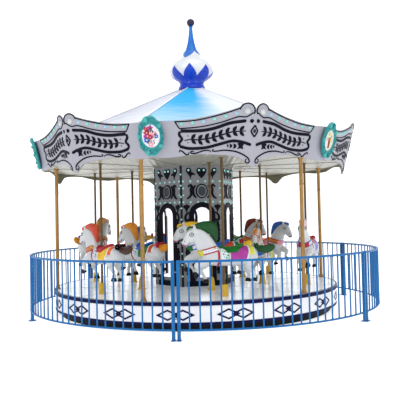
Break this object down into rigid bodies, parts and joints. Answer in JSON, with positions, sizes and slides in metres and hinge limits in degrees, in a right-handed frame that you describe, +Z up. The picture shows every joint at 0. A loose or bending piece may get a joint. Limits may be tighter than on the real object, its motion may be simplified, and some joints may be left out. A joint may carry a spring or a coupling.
{
  "type": "carousel",
  "caption": "Fairground carousel: round turning deck and peaked canopy, horses that rise and fall on poles, hexagonal centre column, onion finial and a ring fence.",
  "frame": {"origin": "centre of the round base's underside, on the ground, on the turning axis", "axes": "+Z up along the turning axis; -Y points to the visitor who looks at the pictured side, +X to that visitor's right"},
  "size_m": [6.467, 6.5152, 5.597],
  "materials": {
    "black_steel": "satin",
    "deck_paint": "satin",
    "skirt_paint": "satin",
    "column_panel": "satin",
    "gilt": "gloss",
    "dull_brass": "satin",
    "ceiling_sheet": "satin",
    "roof_cloth": "matte",
    "board_paint": "satin",
    "teal_paint": "satin",
    "royal_blue": "gloss",
    "fence_blue": "satin",
    "horse_white": "gloss"
  },
  "bodies": {
    "base": {"base_frame": "black_steel", "slewing_bearing": "black_steel", "fence_panel_1": "fence_blue", "fence_panel_2": "fence_blue", "fence_panel_3": "fence_blue", "fence_panel_4": "fence_blue", "fence_panel_5": "fence_blue", "fence_panel_6": "fence_blue"},
    "turntable": {"deck": "deck_paint", "deck_frame": "black_steel", "skirt": "skirt_paint", "ceiling": "ceiling_sheet", "canopy_frame": "black_steel", "roof_sheet": "roof_cloth", "onion_bulb": "royal_blue", "spire": "royal_blue", "centre_column": "column_panel", "rim_post_1": "gilt", "rounding_board_1": "board_paint", "medallion_1": "teal_paint", "rim_post_2": "gilt", "rounding_board_2": "board_paint", "medallion_2": "teal_paint", "rim_post_3": "gilt", "rounding_board_3": "board_paint", "medallion_3": "teal_paint", "rim_post_4": "gilt", "rounding_board_4": "board_paint", "medallion_4": "teal_paint", "rim_post_5": "gilt", "rounding_board_5": "board_paint", "medallion_5": "teal_paint", "rim_post_6": "gilt", "rounding_board_6": "board_paint", "medallion_6": "teal_paint"},
    "ride_outer_1": {"horse_outer_1": "horse_white", "pole_outer_1": "dull_brass"},
    "ride_outer_2": {"horse_outer_2": "horse_white", "pole_outer_2": "dull_brass"},
    "ride_outer_3": {"horse_outer_3": "horse_white", "pole_outer_3": "dull_brass"},
    "ride_outer_4": {"horse_outer_4": "horse_white", "pole_outer_4": "dull_brass"},
    "ride_outer_5": {"horse_outer_5": "horse_white", "pole_outer_5": "dull_brass"},
    "ride_outer_6": {"horse_outer_6": "horse_white", "pole_outer_6": "dull_brass"},
    "ride_inner_1": {"horse_inner_1": "horse_white", "pole_inner_1": "dull_brass"},
    "ride_inner_2": {"horse_inner_2": "horse_white", "pole_inner_2": "dull_brass"},
    "ride_inner_3": {"horse_inner_3": "horse_white", "pole_inner_3": "dull_brass"},
    "ride_inner_4": {"horse_inner_4": "horse_white", "pole_inner_4": "dull_brass"},
    "ride_inner_5": {"horse_inner_5": "horse_white", "pole_inner_5": "dull_brass"},
    "ride_inner_6": {"horse_inner_6": "horse_white", "pole_inner_6": "dull_brass"}
  },
  "joints": [
    {"name": "turntable_spin", "type": "hinge", "parent": "base", "child": "turntable", "pos_m": [0, 0, 0], "axis": [0, 0, 1], "continuous": true},
    {"name": "lift_outer_1", "type": "slide", "parent": "turntable", "child": "ride_outer_1", "axis": [0, 0, 1], "range_m": [-0.13, 0.21]},
    {"name": "lift_outer_2", "type": "slide", "parent": "turntable", "child": "ride_outer_2", "axis": [0, 0, 1], "range_m": [-0.17, 0.17]},
    {"name": "lift_outer_3", "type": "slide", "parent": "turntable", "child": "ride_outer_3", "axis": [0, 0, 1], "range_m": [-0.13, 0.21]},
    {"name": "lift_outer_4", "type": "slide", "parent": "turntable", "child": "ride_outer_4", "axis": [0, 0, 1], "range_m": [-0.23, 0.11]},
    {"name": "lift_outer_5", "type": "slide", "parent": "turntable", "child": "ride_outer_5", "axis": [0, 0, 1], "range_m": [-0.26, 0.08]},
    {"name": "lift_outer_6", "type": "slide", "parent": "turntable", "child": "ride_outer_6", "axis": [0, 0, 1], "range_m": [-0.15, 0.19]},
    {"name": "lift_inner_1", "type": "slide", "parent": "turntable", "child": "ride_inner_1", "axis": [0, 0, 1], "range_m": [-0.17, 0.17]},
    {"name": "lift_inner_2", "type": "slide", "parent": "turntable", "child": "ride_inner_2", "axis": [0, 0, 1], "range_m": [-0.03, 0.31]},
    {"name": "lift_inner_3", "type": "slide", "parent": "turntable", "child": "ride_inner_3", "axis": [0, 0, 1], "range_m": [-0.2, 0.14]},
    {"name": "lift_inner_4", "type": "slide", "parent": "turntable", "child": "ride_inner_4", "axis": [0, 0, 1], "range_m": [-0.07, 0.27]},
    {"name": "lift_inner_5", "type": "slide", "parent": "turntable", "child": "ride_inner_5", "axis": [0, 0, 1], "range_m": [-0.09, 0.25]},
    {"name": "lift_inner_6", "type": "slide", "parent": "turntable", "child": "ride_inner_6", "axis": [0, 0, 1], "range_m": [-0.15, 0.19]}
  ]
}
